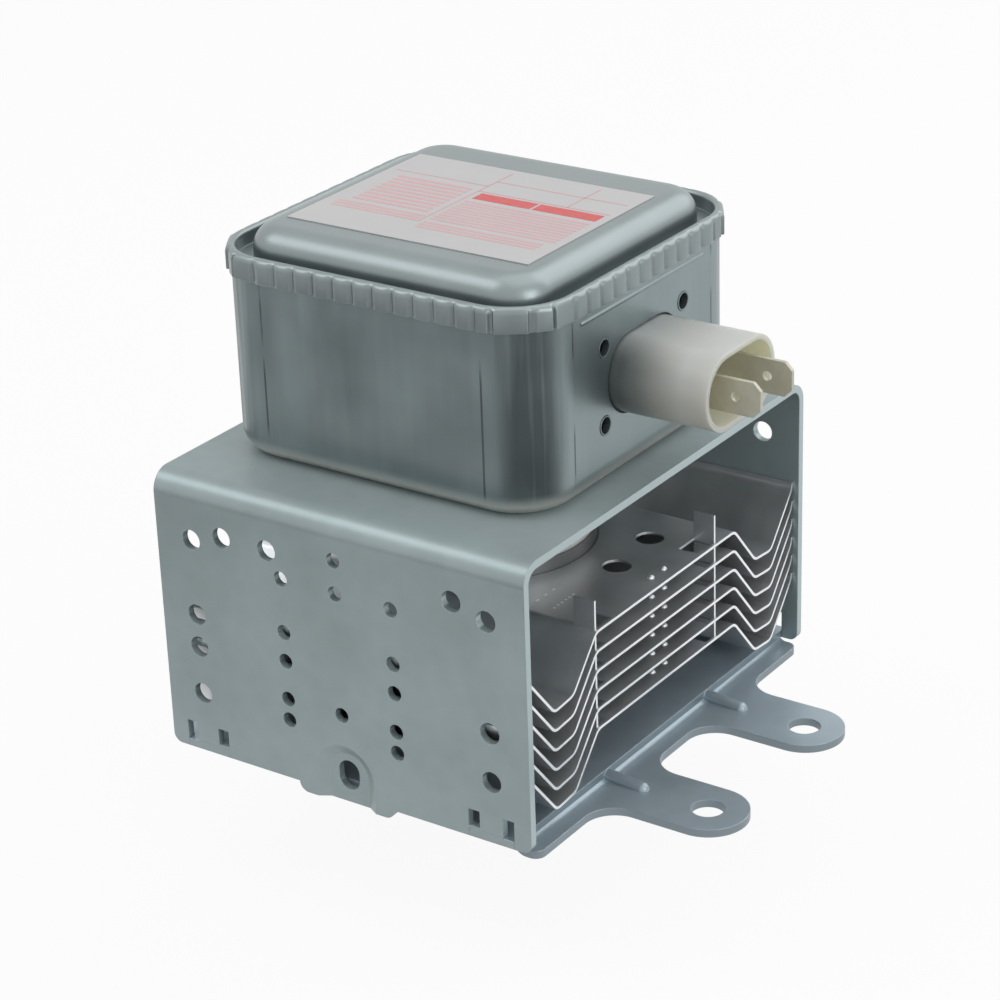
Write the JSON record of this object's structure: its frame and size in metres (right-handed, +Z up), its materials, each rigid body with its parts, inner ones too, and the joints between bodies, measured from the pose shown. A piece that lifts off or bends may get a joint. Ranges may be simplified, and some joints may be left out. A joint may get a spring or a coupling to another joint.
{
  "type": "magnetron",
  "caption": "Microwave-oven magnetron: finned anode and ring magnets in a perforated U-shaped yoke, filter box with crimped lid and oval connector above, antenna below.",
  "frame": {"origin": "on the tube axis, in the plane of the underside of the mounting ears", "axes": "+Z up the tube axis to the filter box, -Y to the mounting ears and the connector, -X to one perforated yoke wall"},
  "size_m": [0.095, 0.1042, 0.1213],
  "materials": {
    "zinc_steel": "zinc-plated sheet steel",
    "box_steel": "deep-drawn plated steel",
    "ferrite": "hard ferrite, ground faces",
    "fin_aluminium": "thin rolled aluminium",
    "copper": "bare copper",
    "tube_steel": "nickel-plated steel",
    "tungsten": "bare tungsten and molybdenum",
    "alumina": "sintered alumina",
    "cap_metal": "drawn metal cap",
    "wire_mesh": "knitted wire",
    "label_paper": "printed label, printing left out",
    "shroud_plastic": "cream insulating plastic",
    "capacitor_ceramic": "ceramic capacitor",
    "cover_plastic": "black insulating plastic",
    "tab_metal": "tinned steel tab"
  },
  "bodies": {
    "root": {"yoke_frame": "zinc_steel", "base_plate": "zinc_steel", "lower_magnet": "ferrite", "upper_magnet": "ferrite", "cooling_fin_1": "fin_aluminium", "cooling_fin_2": "fin_aluminium", "cooling_fin_3": "fin_aluminium", "cooling_fin_4": "fin_aluminium", "cooling_fin_5": "fin_aluminium", "cooling_fin_6": "fin_aluminium", "anode_cylinder": "tube_steel", "anode_vanes": "copper", "strap_rings": "copper", "lower_pole_piece": "tube_steel", "upper_pole_piece": "tube_steel", "lower_sealing_cup": "tube_steel", "upper_sealing_cup": "tube_steel", "filament_coil": "tungsten", "lower_end_hat": "tungsten", "upper_end_hat": "tungsten", "centre_lead": "tungsten", "side_lead": "tungsten", "stem_ceramic": "alumina", "antenna_lead": "copper", "antenna_ceramic": "alumina", "exhaust_tube": "copper", "antenna_cap": "cap_metal", "rf_gasket": "wire_mesh", "filter_box": "box_steel", "box_rivets": "tube_steel", "filter_lid": "box_steel", "lid_label": "label_paper", "capacitor_flange": "tube_steel", "connector_shroud": "shroud_plastic", "capacitor_block": "capacitor_ceramic", "capacitor_cover": "cover_plastic", "left_terminal": "tab_metal", "right_terminal": "tab_metal", "left_choke": "copper", "right_choke": "copper", "left_ferrite": "ferrite", "right_ferrite": "ferrite"}
  },
  "joints": []
}
